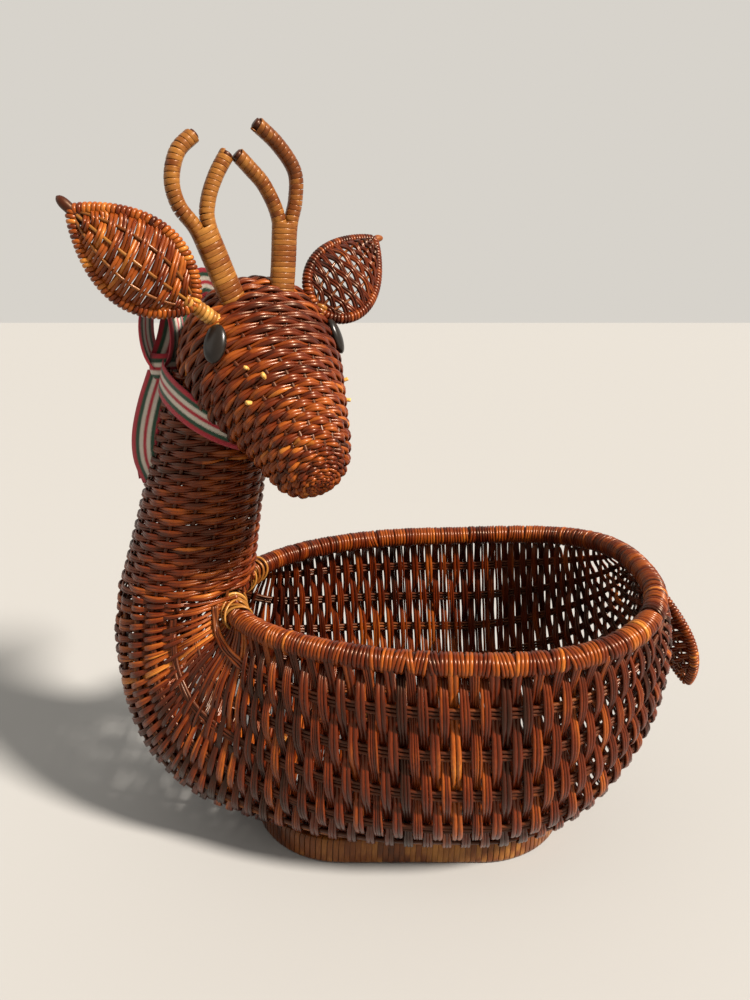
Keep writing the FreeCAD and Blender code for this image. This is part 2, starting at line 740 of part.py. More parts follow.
os.makedirs("parts", exist_ok=True)
for old in os.listdir("parts"):
    if old.endswith(".step"):
        os.remove(os.path.join("parts", old))
box = FreeCAD.BoundBox()
for feature in subparts:
    shape = feature.Shape
    if shape.isNull() or not shape.isValid():
        raise RuntimeError("bad shape: %s" % feature.Label)
    box.add(shape.optimalBoundingBox(False))
    shape.exportStep("parts/%s.step" % feature.Label)
print(len(subparts), "sub-parts", box)
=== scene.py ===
import bpy
import math
import numpy as np
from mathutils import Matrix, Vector


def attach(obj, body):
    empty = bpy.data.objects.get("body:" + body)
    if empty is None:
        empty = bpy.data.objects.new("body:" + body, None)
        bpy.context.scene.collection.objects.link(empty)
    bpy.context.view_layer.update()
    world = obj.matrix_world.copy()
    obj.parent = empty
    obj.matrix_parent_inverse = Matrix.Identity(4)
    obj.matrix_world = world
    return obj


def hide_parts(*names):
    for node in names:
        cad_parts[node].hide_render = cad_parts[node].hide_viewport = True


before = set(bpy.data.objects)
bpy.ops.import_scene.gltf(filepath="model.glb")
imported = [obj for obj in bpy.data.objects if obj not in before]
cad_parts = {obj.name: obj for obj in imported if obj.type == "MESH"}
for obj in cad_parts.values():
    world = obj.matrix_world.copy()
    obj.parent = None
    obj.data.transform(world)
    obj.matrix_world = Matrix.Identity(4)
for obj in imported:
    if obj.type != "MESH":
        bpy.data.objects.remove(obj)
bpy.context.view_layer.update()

# A woven wicker deer basket, its reeds built one by one over the CAD's shape.
# Shapes are worked out in millimetres about the middle of the rim hoop, with z = 0
# on the table, and Bundle.piece() and tape() carry them to the row frame in metres.

ORIGIN = np.array([-16.18, 0.0, 0.0])
MM = 0.001
UV_SCALE = np.array([MM * 100, 1.0])
rng = np.random.default_rng(11)


# ---------------------------------------------------------------- curves

def vec(x, y, z):
    return np.array([x, y, z], float)


def power(value, exponent):
    return np.sign(value) * np.abs(value) ** exponent


def ease(value):
    value = np.clip(value, 0, 1)
    return value * value * (3 - 2 * value)


def unit(vectors):
    vectors = np.asarray(vectors, float)
    return vectors / (np.linalg.norm(vectors, axis=-1, keepdims=True) + 1e-12)


def dot(a, b):
    return np.sum(a * b, axis=-1, keepdims=True)


def through(stations, place):
    """Smooth curve with no overshoot through (place, value) stations."""
    xs = np.array([s[0] for s in stations], float)
    ys = np.array([s[1] for s in stations], float)
    place = np.clip(place, xs[0], xs[-1])
    slopes = np.diff(ys) / np.diff(xs)
    inner = [2 * a * b / (a + b) if a * b > 0 else 0.0 for a, b in zip(slopes, slopes[1:])]
    tangents = np.array([slopes[0]] + inner + [slopes[-1]])
    i = np.clip(np.searchsorted(xs, place, side="right") - 1, 0, len(xs) - 2)
    gap = xs[i + 1] - xs[i]
    k = (place - xs[i]) / gap
    return ((2 * k ** 3 - 3 * k * k + 1) * ys[i] + (k ** 3 - 2 * k * k + k) * gap * tangents[i]
            + (3 * k * k - 2 * k ** 3) * ys[i + 1] + (k ** 3 - k * k) * gap * tangents[i + 1])


def smooth_path(points, count):
    """Evenly spaced points on a Catmull-Rom curve through the given ones."""
    points = np.asarray(points, float)
    ends = np.vstack([2 * points[0] - points[1], points, 2 * points[-1] - points[-2]])
    fine = []
    for a, b, c, d in zip(ends, ends[1:], ends[2:], ends[3:]):
        for t in np.linspace(0, 1, 12, endpoint=False):
            fine.append(0.5 * (2 * b + (c - a) * t + (2 * a - 5 * b + 4 * c - d) * t * t
                               + (3 * b - a - 3 * c + d) * t ** 3))
    return spread(np.vstack([fine, points[-1:]]), count)


def runs_of(points):
    return np.concatenate([[0], np.cumsum(np.linalg.norm(np.diff(points, axis=0), axis=1))])


def sample(at, runs, points):
    """Points of a line at given runs along it."""
    return np.stack([np.interp(at, runs, points[:, i]) for i in range(3)], axis=-1)


def spread(points, count):
    """The same line with count evenly spaced points."""
    runs = runs_of(points)
    return sample(np.linspace(0, runs[-1], count), runs, points)


def tangents_of(path, closed=False):
    if closed:
        return unit(np.roll(path, -1, axis=0) - np.roll(path, 1, axis=0))
    return unit(np.gradient(path, axis=0))


def carried_sides(tangents, first):
    """Side vectors carried along a path without twisting."""
    side = np.asarray(first, float)
    sides = []
    for tangent in tangents:
        side = unit(side - tangent * np.dot(side, tangent))
        sides.append(side)
    return np.array(sides)


# ---------------------------------------------------------------- strands and meshes

class Bundle:
    """Closed tubes gathered into one mesh, each with its own tone."""

    def __init__(self):
        self.points = []
        self.quads = []
        self.caps = []
        self.quad_uv = []
        self.cap_uv = []
        self.tones = []
        self.count = 0

    def strand(self, path, normal, wide, thick, tone, sides=6, closed=False, square=2.0):
        """Tube of oval section along path, flat side towards normal."""
        path = np.asarray(path, float)
        count = len(path)
        tangent = tangents_of(path, closed)
        normal = np.broadcast_to(normal, path.shape)
        side = unit(np.cross(tangent, normal))
        up = np.cross(side, tangent)
        wide = np.broadcast_to(wide, (count,)).reshape(-1, 1, 1) / 2
        thick = np.broadcast_to(thick, (count,)).reshape(-1, 1, 1) / 2
        turn = 2 * np.pi * (np.arange(sides) + 0.5) / sides
        across = power(np.cos(turn), 2 / square).reshape(1, -1, 1)
        over = power(np.sin(turn), 2 / square).reshape(1, -1, 1)
        ring = path[:, None] + side[:, None] * across * wide + up[:, None] * over * thick
        self.points.append(ring.reshape(-1, 3))
        rows = count if closed else count - 1
        i = np.repeat(np.arange(rows), sides)
        j = np.tile(np.arange(sides), rows)
        i_next = (i + 1) % count
        j_next = (j + 1) % sides
        quads = np.stack([i * sides + j, i_next * sides + j,
                          i_next * sides + j_next, i * sides + j_next], axis=1)
        self.quads.append(quads + self.count)
        run = runs_of(np.vstack([path, path[:1]]) if closed else path)
        shift = rng.uniform(0, 500)
        u0 = run[i] + shift
        u1 = run[i + 1] + shift
        v0 = j / sides
        v1 = (j + 1) / sides
        self.quad_uv.append(np.stack([np.stack([u0, v0], 1), np.stack([u1, v0], 1),
                                      np.stack([u1, v1], 1), np.stack([u0, v1], 1)], 1))
        if not closed:
            first = np.arange(sides) + self.count
            last = first + (count - 1) * sides
            self.caps.append((first, last[::-1]))
        tone = np.broadcast_to(tone, (count,))
        self.tones.append(np.repeat(tone, sides))
        self.count += count * sides

    def piece(self, name, material, slot, replaced=()):
        """The finished mesh as a piece that rides on the object."""
        points = (np.vstack(self.points) - ORIGIN) * MM
        quads = np.vstack(self.quads)
        quad_uv = np.vstack(self.quad_uv).reshape(-1, 2)
        loops = [quads.ravel()]
        sizes = [np.full(len(quads), 4)]
        uvs = [quad_uv]
        for first, last in self.caps:
            for ring in (first, last):
                loops.append(ring)
                sizes.append([len(ring)])
                turn = np.linspace(0, 2 * np.pi, len(ring), endpoint=False)
                uvs.append(np.stack([np.cos(turn), np.sin(turn)], 1) * 0.3)
        loops = np.concatenate(loops)
        sizes = np.concatenate(sizes)
        uvs = np.vstack(uvs)
        mesh = bpy.data.meshes.new(name)
        mesh.vertices.add(len(points))
        mesh.vertices.foreach_set("co", points.ravel())
        mesh.loops.add(len(loops))
        mesh.loops.foreach_set("vertex_index", loops.astype(np.int32))
        mesh.polygons.add(len(sizes))
        starts = np.concatenate([[0], np.cumsum(sizes)[:-1]])
        mesh.polygons.foreach_set("loop_start", starts.astype(np.int32))
        mesh.polygons.foreach_set("use_smooth", np.ones(len(sizes), bool))
        mesh.update(calc_edges=True)
        layer = mesh.uv_layers.new(name="along")
        layer.data.foreach_set("uv", (uvs * UV_SCALE).ravel())
        tones = mesh.attributes.new("tone", "FLOAT", "POINT")
        tones.data.foreach_set("value", np.concatenate(self.tones).astype(np.float32))
        mesh.validate()
        mesh.materials.append(material)
        piece = bpy.data.objects.new(name, mesh)
        bpy.context.scene.collection.objects.link(piece)
        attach(piece, "root")
        if replaced:
            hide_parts(*replaced)
        return piece


# ---------------------------------------------------------------- materials

def new_material(name):
    material = bpy.data.materials.new(name)
    material.use_nodes = True
    tree = material.node_tree
    return material, tree, tree.nodes["Principled BSDF"]


def node(tree, kind, **values):
    made = tree.nodes.new(kind)
    for key, value in values.items():
        if key in made.inputs:
            made.inputs[key].default_value = value
        else:
            setattr(made, key, value)
    return made


def ramp(tree, stops):
    made = tree.nodes.new("ShaderNodeValToRGB")
    elements = made.color_ramp.elements
    while len(elements) < len(stops):
        elements.new(0.5)
    for element, (place, colour) in zip(elements, stops):
        element.position = place
        element.color = (*colour, 1)
    return made


def combine(tree, operation, a, b):
    made = tree.nodes.new("ShaderNodeMath")
    made.operation = operation
    for socket, value in zip(made.inputs, (a, b)):
        if isinstance(value, (int, float)):
            socket.default_value = value
        else:
            tree.links.new(value, socket)
    return made.outputs[0]


def reed_material(name, stops, rough=0.34, coat=0.12, grain=0.45):
    """Varnished reed: a tone for each strand, streaks along it and blotches of stain."""
    material, tree, shader = new_material(name)
    link = tree.links.new
    tone = node(tree, "ShaderNodeAttribute", attribute_name="tone")
    uv = node(tree, "ShaderNodeUVMap", uv_map="along")
    stretch = node(tree, "ShaderNodeMapping")
    stretch.inputs["Scale"].default_value = (1.2, 7.0, 1.0)
    link(uv.outputs["UV"], stretch.inputs["Vector"])
    fibre = node(tree, "ShaderNodeTexNoise", Scale=2.2, Detail=5.0, Roughness=0.65)
    link(stretch.outputs["Vector"], fibre.inputs["Vector"])
    place = node(tree, "ShaderNodeTexCoord")
    stain = node(tree, "ShaderNodeTexNoise", Scale=38.0, Detail=4.0, Roughness=0.6)
    link(place.outputs["Object"], stain.inputs["Vector"])
    patch = node(tree, "ShaderNodeTexNoise", Scale=9.0, Detail=2.0)
    link(place.outputs["Object"], patch.inputs["Vector"])
    mix = combine(tree, "MULTIPLY", combine(tree, "SUBTRACT", fibre.outputs["Fac"], 0.5), grain)
    mix = combine(tree, "ADD", mix, tone.outputs["Fac"])
    mix = combine(tree, "ADD", mix, combine(
        tree, "MULTIPLY", combine(tree, "SUBTRACT", stain.outputs["Fac"], 0.5), 0.5))
    mix = combine(tree, "ADD", mix, combine(
        tree, "MULTIPLY", combine(tree, "SUBTRACT", patch.outputs["Fac"], 0.5), 0.45))
    colours = ramp(tree, stops)
    link(mix, colours.inputs["Fac"])
    link(colours.outputs["Color"], shader.inputs["Base Color"])
    gloss = combine(tree, "ADD", combine(tree, "MULTIPLY", stain.outputs["Fac"], 0.3),
                    rough - 0.15)
    link(gloss, shader.inputs["Roughness"])
    shader.inputs["Coat Weight"].default_value = coat
    shader.inputs["Coat Roughness"].default_value = 0.18
    shader.inputs["Specular IOR Level"].default_value = 0.30
    shader.inputs["Specular Tint"].default_value = (1.0, 0.62, 0.38, 1)
    bump = node(tree, "ShaderNodeBump", Strength=0.35, Distance=0.0003)
    link(fibre.outputs["Fac"], bump.inputs["Height"])
    link(bump.outputs["Normal"], shader.inputs["Normal"])
    return material


REED = reed_material("stained_reed", [
    (0.0, (0.008, 0.0010, 0.0003)), (0.22, (0.026, 0.0028, 0.0006)),
    (0.45, (0.076, 0.0092, 0.0012)), (0.70, (0.215, 0.047, 0.0050)), (1.0, (0.50, 0.20, 0.030))])
CANE = reed_material("golden_cane", [
    (0.0, (0.022, 0.004, 0.001)), (0.3, (0.095, 0.023, 0.003)), (0.6, (0.240, 0.098, 0.017)),
    (1.0, (0.52, 0.28, 0.070))], rough=0.34, coat=0.15)
ROD = reed_material("dark_rod", [
    (0.0, (0.010, 0.002, 0.001)), (0.5, (0.050, 0.008, 0.002)), (1.0, (0.24, 0.07, 0.012))],
    rough=0.42, coat=0.1)


BEAD, bead_tree, bead_shader = new_material("black_bead")
bead_spots = node(bead_tree, "ShaderNodeTexNoise", Scale=220.0, Detail=3.0)
bead_colour = ramp(bead_tree, [(0.3, (0.003, 0.0025, 0.002)), (0.8, (0.014, 0.009, 0.006))])
bead_tree.links.new(bead_spots.outputs["Fac"], bead_colour.inputs["Fac"])
bead_tree.links.new(bead_colour.outputs["Color"], bead_shader.inputs["Base Color"])
bead_shader.inputs["Roughness"].default_value = 0.28
bead_shader.inputs["Specular IOR Level"].default_value = 0.3
EYE_LONG, EYE_WIDE, EYE_THICK, EYE_OUT = 9.5, 6.0, 3.2, 3.6


# ---------------------------------------------------------------- rim hoop and body shape

HOOP_LENGTH, HOOP_WIDTH, HOOP_EGG, HOOP_POWER = 120.0, 89.0, 0.15, 2.39
HOOP_ROD = 4.3
HOOP_HEIGHT, HOOP_NECK_LIFT, HOOP_TAIL_LIFT = 141.7, -1.8, 12.2


def hoop_rise(cosine):
    lift = np.where(cosine < 0, HOOP_NECK_LIFT, HOOP_TAIL_LIFT)
    return HOOP_HEIGHT + lift * cosine * cosine


def hoop_point(angle):
    """Centre line of the hoop: 0 at the tail, a half turn at the neck, near side first."""
    c = np.cos(angle)
    s = np.sin(angle)
    p = 2 / HOOP_POWER
    wide = HOOP_WIDTH * (1 + HOOP_EGG * c)
    return np.stack([HOOP_LENGTH * power(c, p), -wide * power(s, p), hoop_rise(c)], axis=-1)


def hoop_at(x):
    c = power(x / HOOP_LENGTH, HOOP_POWER / 2)
    s = np.sqrt(1 - c * c)
    return HOOP_WIDTH * (1 + HOOP_EGG * c) * s ** (2 / HOOP_POWER), hoop_rise(c)


# the keel is one arc under the breast and one under the tail, each about its own middle
BREAST_TOP = vec(-184, 0, 150)
BREAST_X, BREAST_Z, BREAST_LONG, BREAST_DEEP, BREAST_POWER = -66.0, 122.0, 122.5, 110.0, 2.45
TAIL_X, TAIL_Z, TAIL_LONG, TAIL_DEEP, TAIL_POWER = 28.0, 118.0, 101.0, 106.0, 1.9


def keel_outline():
    turn = np.linspace(0, np.pi / 2, 60)
    p = 2 / BREAST_POWER
    breast = np.stack([BREAST_X - BREAST_LONG * power(np.cos(turn), p), 0 * turn,
                       BREAST_Z - BREAST_DEEP * power(np.sin(turn), p)], axis=1)
    turn = np.linspace(0, np.pi / 2 * 1.2, 60)
    p = 2 / TAIL_POWER
    tail = np.stack([TAIL_X + TAIL_LONG * power(np.sin(turn), p), 0 * turn,
                     TAIL_Z - TAIL_DEEP * power(np.cos(turn), p)], axis=1)
    return np.vstack([[BREAST_TOP], breast, tail])


KEEL = keel_outline()
KEEL_RUNS = runs_of(KEEL)
KEEL_LENGTH = KEEL_RUNS[-1]


def keel(u):
    return sample(np.clip(u, 0, 1) * KEEL_LENGTH, KEEL_RUNS, KEEL)


ROW_STARTS = [(0, -116.5), (0.12, -115), (0.24, -111.5), (0.32, -104.5), (0.37, -94),
              (0.45, -62), (0.6, 11), (0.7, 59), (0.8, 93), (0.9, 109), (1, 117)]


def body_point(u, v):
    """Woven body: u runs from the neck to the tail, v from near rim to far rim."""
    u, v = np.broadcast_arrays(np.clip(np.asarray(u, float), 0, 1), np.asarray(v, float))
    x = through(ROW_STARTS, u)
    width, z = hoop_at(x)
    top = np.stack([x, 0 * x, z - 1 + 10 * (1 - ease(u / 0.12))], axis=-1)
    bottom = keel(u)
    spare = 30 + 21 * ease(u / 0.3) - 37 * ease((u - 0.35) / 0.6)
    widest = (width ** 2.4 + spare ** 2.4) ** (1 / 2.4)
    n = 2 + 1.5 * ease(u / 0.35) - 1.3 * ease((u - 0.6) / 0.4)
    sweep = np.pi - np.arcsin((width / widest) ** (n / 2))
    depth = bottom - top
    reach = np.linalg.norm(depth, axis=-1) / (1 - power(np.cos(sweep), 2 / n))
    down = unit(depth)
    centre = bottom - down * reach[..., None]
    angle = v * sweep
    point = centre + down * (reach * power(np.cos(angle), 2 / n))[..., None]
    point[..., 1] += widest * power(np.sin(angle), 2 / n)
    return point


# ---------------------------------------------------------------- body weave

# shares of the half row from keel to rim where the ribs lie, the same on both sides
RIB_SHARES = [0.88, 0.76, 0.64, 0.52, 0.40, 0.27, 0.14]
RIB_AT = [-share for share in RIB_SHARES] + [0.0] + RIB_SHARES[::-1]
RIB_ROD = 1.5
WEAVE_OUT = RIB_ROD + 0.75
TABLE_ROWS, TABLE_COLUMNS = 420, 241


def body_table():
    """Points of the body on a grid evenly spaced along each row, with what belongs there."""
    rows = np.linspace(0, 1, TABLE_ROWS)
    fine = np.linspace(-1, 1, 481)
    shares = np.linspace(-1, 1, TABLE_COLUMNS)
    points = np.empty((TABLE_ROWS, TABLE_COLUMNS, 3))
    for i, u in enumerate(rows):
        line = body_point(u, fine)
        runs = runs_of(line)
        at = (shares + 1) / 2 * runs[-1]
        points[i] = sample(at, runs, line)
    along = np.gradient(points, axis=0)
    across = unit(np.gradient(points, axis=1))
    normals = np.cross(across, along)
    for _ in range(6):
        inner = normals.copy()
        inner[1:-1] = (normals[:-2] + 2 * normals[1:-1] + normals[2:]) / 4
        normals = inner
    apart = along - across * dot(along, across)
    close = np.linalg.norm(apart, axis=-1) / (KEEL_LENGTH / (TABLE_ROWS - 1))
    return points, unit(normals), close


BODY_POINTS, BODY_NORMALS, BODY_CLOSE = body_table()


def body_frame(u, share):
    """Point, outward normal and closeness of the rows at (u, share of the row)."""
    u, share = np.broadcast_arrays(np.asarray(u, float), np.asarray(share, float))
    row = np.clip(u, 0, 1) * (TABLE_ROWS - 1)
    column = (np.clip(share, -1, 1) + 1) / 2 * (TABLE_COLUMNS - 1)
    i = np.clip(row.astype(int), 0, TABLE_ROWS - 2)
    j = np.clip(column.astype(int), 0, TABLE_COLUMNS - 2)
    a = row - i
    b = column - j

    def pick(table):
        wa, wb = (a, b) if table.ndim == 2 else (a[..., None], b[..., None])
        return ((table[i, j] * (1 - wb) + table[i, j + 1] * wb) * (1 - wa)
                + (table[i + 1, j] * (1 - wb) + table[i + 1, j + 1] * wb) * wa)

    return pick(BODY_POINTS), unit(pick(BODY_NORMALS)), pick(BODY_CLOSE)


def rib_count(share):
    """How many ribs lie before a place on the row, as a smooth count."""
    return np.interp(share, [-1.0] + RIB_AT + [1.0], np.arange(len(RIB_AT) + 2))


def pass_places():
    """Keel fractions of the passes: close at the breast, wider along the basket."""
    run = 1.5
    places = []
    while run < KEEL_LENGTH * 0.997:
        u = run / KEEL_LENGTH
        pitch = 3.3 + 1.8 * ease((u - 0.2) / 0.22)
        places.append((u, pitch))
        run += pitch
    return places


def halving(number):
    """Evenly scattered share from 0 to 1 for a whole number."""
    share, step = 0.0, 0.5
    while number:
        share += step * (number % 2)
        number //= 2
        step /= 2
    return share


BASKET_START, BREAST_END, BREAST_BLEND = 0.33, 0.36, 0.06
REED_THICK = 1.4


def weave_body():
    columns = np.linspace(-1, 1, 129)
    ribs_before = rib_count(columns)
    wave = np.cos(np.pi * ribs_before)
    breast = Bundle()
    basket = Bundle()
    for number, (u, pitch) in enumerate(pass_places()):
        rank = halving(number + 1)
        sign = 1 if number % 2 else -1
        in_basket = u > BASKET_START
        reeds = int(rng.choice([2, 3, 4], p=[0.25, 0.6, 0.15])) if in_basket else 3
        pass_tone = rng.normal(0.36, 0.11)
        slack = rng.uniform(0.92, 1.08)
        in_breast = ease((BREAST_END - u) / BREAST_BLEND)
        lean = rng.normal(0, 0.35) * (1.0 + 2.2 * in_breast)
        for reed in range(reeds):
            share = (reed - (reeds - 1) / 2) / reeds
            wander = rng.normal(0, 0.15) * np.sin(columns * rng.uniform(2, 5)
                                                  + rng.uniform(0, 6))
            gather = 0.86 + 0.14 * wave ** 2
            at = u + (share * pitch * 1.02 * gather + wander
                      + lean * np.sin(columns * 7)) / KEEL_LENGTH
            point, normal, close = body_frame(at, columns)
            lift = WEAVE_OUT * slack * sign * np.sign(wave) * np.abs(wave) ** 0.8
            lift = lift * np.clip(close * 1.3, 0.35, 1)
            at_hoop = ease((np.abs(columns) - 0.93) / 0.07)
            lift = lift * (1 - at_hoop) + at_hoop * sign * (HOOP_ROD + 0.6) * wave
            wide = pitch * 1.04 / reeds * np.clip(close * 1.5, 0.75, 1.1)
            wide = wide * (0.9 + 0.1 * wave ** 2) * (1.0 + 0.45 * in_breast)
            thick = REED_THICK * np.clip(close * 1.5, 0.7, 1)
            tone = pass_tone + rng.normal(0, 0.08)
            tone = tone + 0.03 * ease((BREAST_END - u) / 0.1)
            bundle = basket if in_basket else breast
            alive = np.flatnonzero(close > 0.72 * rank - 0.05)
            if alive[0] == 0:
                part = slice(0, len(columns))
            else:
                # a pass that ends short of the hoop dips in at both its ends
                part = slice(alive[0], alive[-1] + 1)
                from_middle = np.abs(np.linspace(-0.5, 0.5, part.stop - part.start))
                lift[part] = lift[part] - 1.2 * (1 - ease(16 * (0.5 - from_middle)))
            path = point[part] + normal[part] * lift[part][:, None]
            bundle.strand(path, normal[part], wide[part], thick[part], tone)
    return breast, basket


breast, basket = weave_body()
breast.piece("breast_weave", REED, "reed")
basket.piece("basket_weave", REED, "reed", ["body_weave"])


ROD_GAP, HALF_ROW = 2.0, 190


def rib_bundle():
    """Side ribs: two or three thin rods lying together inside the weave."""
    ribs = Bundle()
    stations = np.linspace(0.03, 0.97, 90)
    for share in RIB_AT:
        rods = 3 if abs(share) > 0.3 else 2
        for rod in range(rods):
            shift = (rod - (rods - 1) / 2) * ROD_GAP
            at = share + shift / HALF_ROW + 0 * stations
            point, normal, _ = body_frame(stations, at)
            wave = 0.3 * np.sin(stations * 60 + rod * 2 + share * 9)
            ribs.strand(point + normal * wave[:, None], normal, 1.9, 2 * RIB_ROD - 0.6,
                        rng.normal(0.45, 0.14))
    return ribs


rib_bundle().piece("body_ribs", ROD, "rod", [
    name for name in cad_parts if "_rib_" in name or name == "keel_rib"])


# ---------------------------------------------------------------- wrapped rods

def helix(path, out_way, up_way, radius, pitch, closed=False, steps=12, oval=1.0, start=0.0):
    """Coil round a path; returns points and outward normals."""
    if closed:
        path, out_way, up_way = (np.vstack([line, line[:1]]) for line in (path, out_way, up_way))
    runs = runs_of(path)
    turns = max(1, round(runs[-1] / pitch)) if closed else runs[-1] / pitch
    count = int(turns * steps)
    share = np.linspace(0, 1, count, endpoint=not closed)
    at = share * runs[-1]
    centre, out, up = (sample(at, runs, line) for line in (path, out_way, up_way))
    angle = (2 * np.pi * turns * share + start)[:, None]
    if not np.isscalar(radius):
        radius = np.interp(at, runs, radius)[:, None]
    around = out * np.cos(angle) * oval + up * np.sin(angle)
    normal = unit(out * np.cos(angle) / oval + up * np.sin(angle))
    return centre + around * radius, normal


def flat_wrap(bundle, path, out_way, up_way, radius, pitch, thick, tone, vary, square=2.0,
              **how):
    """Flat cane coiled round a rod, its tone drifting from turn to turn."""
    coil, normal = helix(path, out_way, up_way, radius, pitch, **how)
    steps = how.get("steps", 12)
    turn = np.arange(len(coil)) // steps
    drift = rng.normal(0, vary, turn.max() + 1)[turn]
    bundle.strand(coil, normal, pitch, thick, tone + drift,
                  closed=how.get("closed", False), square=square, sides=8)


def rim_wrap():
    """Reeds that go round the hoop, each at its own slant, over an even inner coil."""
    angles = np.linspace(0, 2 * np.pi, 721)
    path = spread(hoop_point(angles), 1401)
    tangent = tangents_of(path)
    tangent[0] = tangent[-1] = unit(path[1] - path[-2])
    up = unit(vec(0, 0, 1) - tangent * tangent[:, 2:3])
    out = np.cross(tangent, up)
    runs = runs_of(path)
    wrap = Bundle()
    flat_wrap(wrap, path[:-1:2], out[:-1:2], up[:-1:2], HOOP_ROD + 0.5, 2.4, 1.2, 0.35, 0.10,
              closed=True)
    run = 0.0
    group_tone = 0.5
    left = 0
    slant = 0.0
    while run < runs[-1] - 0.6:
        if left == 0:
            left = int(rng.choice([2, 3, 4]))
            group_tone = rng.normal(0.50, 0.07)
            slant = rng.normal(0.0, 1.0)
        left -= 1
        wide = rng.uniform(1.7, 2.4)
        radius = HOOP_ROD + 1.25 + rng.uniform(-0.15, 0.3)
        turn = np.linspace(0, 2 * np.pi, 17)[:-1]
        at = np.mod(run + wide / 2 + slant * np.sin(turn + 0.6), runs[-1])
        around = (sample(at, runs, out) * np.cos(turn)[:, None]
                  + sample(at, runs, up) * np.sin(turn)[:, None])
        wrap.strand(sample(at, runs, path) + around * radius, around, wide, 1.5,
                    group_tone + rng.normal(0, 0.09), closed=True)
        run += wide * 0.94
    return wrap


def hoop_lashing(angle):
    """Cane loops crossed over the rim wrap where the hoop meets the neck."""
    lashing = Bundle()
    turn = np.linspace(0, 2 * np.pi, 33)[:-1]
    for i in range(9):
        at = angle + 0.032 * (i - 4)
        centre = hoop_point(at)
        tangent = unit(hoop_point(at + 0.01) - hoop_point(at - 0.01))
        up = unit(vec(0, 0, 1) - tangent * tangent[2])
        out = np.cross(tangent, up)
        slant = (1 if i % 2 else -1) * rng.uniform(2.5, 5.0)
        around = np.cos(turn)[:, None] * out + np.sin(turn)[:, None] * up
        radius = HOOP_ROD + 2.5 + 0.9 * (i % 2) + rng.uniform(-0.2, 0.3)
        path = centre + around * radius + tangent * (slant * np.sin(turn + 0.8))[:, None]
        lashing.strand(path, around, rng.uniform(1.7, 2.3), 1.3, rng.normal(0.48, 0.1),
                       closed=True)
    return lashing


for side, angle in (("near", math.pi * 0.915), ("far", math.pi * 1.085)):
    hoop_lashing(angle).piece("rim_lashing_%s_cane" % side, CANE, "reed",
                              ["rim_lashing_" + side])
rim_wrap().piece("rim_wrap_reed", REED, "reed", ["rim_wrapping"])


# ---------------------------------------------------------------- foot ring

def rounded_loop(half_length, half_width, corner, count):
    """Rounded rectangle in the plane, evenly spaced."""
    points = []
    for cx, cy, first in ((1, 1, 0), (-1, 1, 90), (-1, -1, 180), (1, -1, 270)):
        for degrees in np.linspace(first, first + 90, 24):
            a = math.radians(degrees)
            points.append(vec(cx * (half_length - corner) + corner * math.cos(a),
                              cy * (half_width - corner) + corner * math.sin(a), 0))
    points.append(points[0])
    return spread(np.array(points), count + 1)[:-1]


FOOT_HALF_LENGTH, FOOT_HALF_WIDTH, FOOT_CORNER, FOOT_X = 95, 65.6, 55, -16
BAND_HALF_WIDE, BAND_HALF_HIGH = 4.75, 8.5
FOOT_CANE, FOOT_CANE_INSET, FOOT_PITCH = 0.7, 0.45, 3.1


def foot_wrap():
    path = rounded_loop(FOOT_HALF_LENGTH - BAND_HALF_WIDE, FOOT_HALF_WIDTH - BAND_HALF_WIDE,
                        FOOT_CORNER - BAND_HALF_WIDE, 400) + vec(FOOT_X, 0, BAND_HALF_HIGH)
    tangent = tangents_of(path, True)
    up = np.broadcast_to(vec(0, 0, 1), path.shape)
    out = np.cross(tangent, up)
    length = runs_of(np.vstack([path, path[:1]]))[-1]
    pitch = FOOT_PITCH
    turns = round(length / pitch)
    steps = 20
    share = np.arange(turns * steps) / (turns * steps)
    runs = np.linspace(0, 1, len(path) + 1)
    centre, side = (sample(share, runs, np.vstack([line, line[:1]])) for line in (path, out))
    side = unit(side)
    angle = 2 * np.pi * share * turns
    half_out, half_up = BAND_HALF_WIDE - FOOT_CANE_INSET, BAND_HALF_HIGH - FOOT_CANE_INSET
    square = 0.42
    across = (half_out * power(np.cos(angle), square))[:, None]
    over = (half_up * power(np.sin(angle), square))[:, None]
    coil = centre + side * across + vec(0, 0, 1) * over
    normal = unit(side * power(np.cos(angle), 2 - square)[:, None] / half_out
                  + vec(0, 0, 1) * power(np.sin(angle), 2 - square)[:, None] / half_up)
    turn = np.arange(len(coil)) // steps
    drift = rng.normal(0, 0.10, turns)[turn]
    wrap = Bundle()
    wrap.strand(coil, normal, pitch, FOOT_CANE, 0.28 + drift, closed=True, square=5.0, sides=8)
    return wrap


foot_wrap().piece("foot_wrap_cane", CANE, "cane_light", ["foot_wrapping"])


# ---------------------------------------------------------------- neck weave

NECK_FOOT, NECK_RISE, NECK_X, NECK_LEAN, NECK_SWAY = 150.0, 120.0, -147, 29, -8
NECK_RADIUS, NECK_TAPER, NECK_FLARE = 37, 13, 4.5


def neck_ring(z):
    k = (z - NECK_FOOT) / NECK_RISE
    centre = np.stack([NECK_X + NECK_LEAN * k, NECK_SWAY * k * k, z + 0 * k], axis=-1)
    return centre, NECK_RADIUS - (NECK_TAPER * k - NECK_FLARE * k * k)


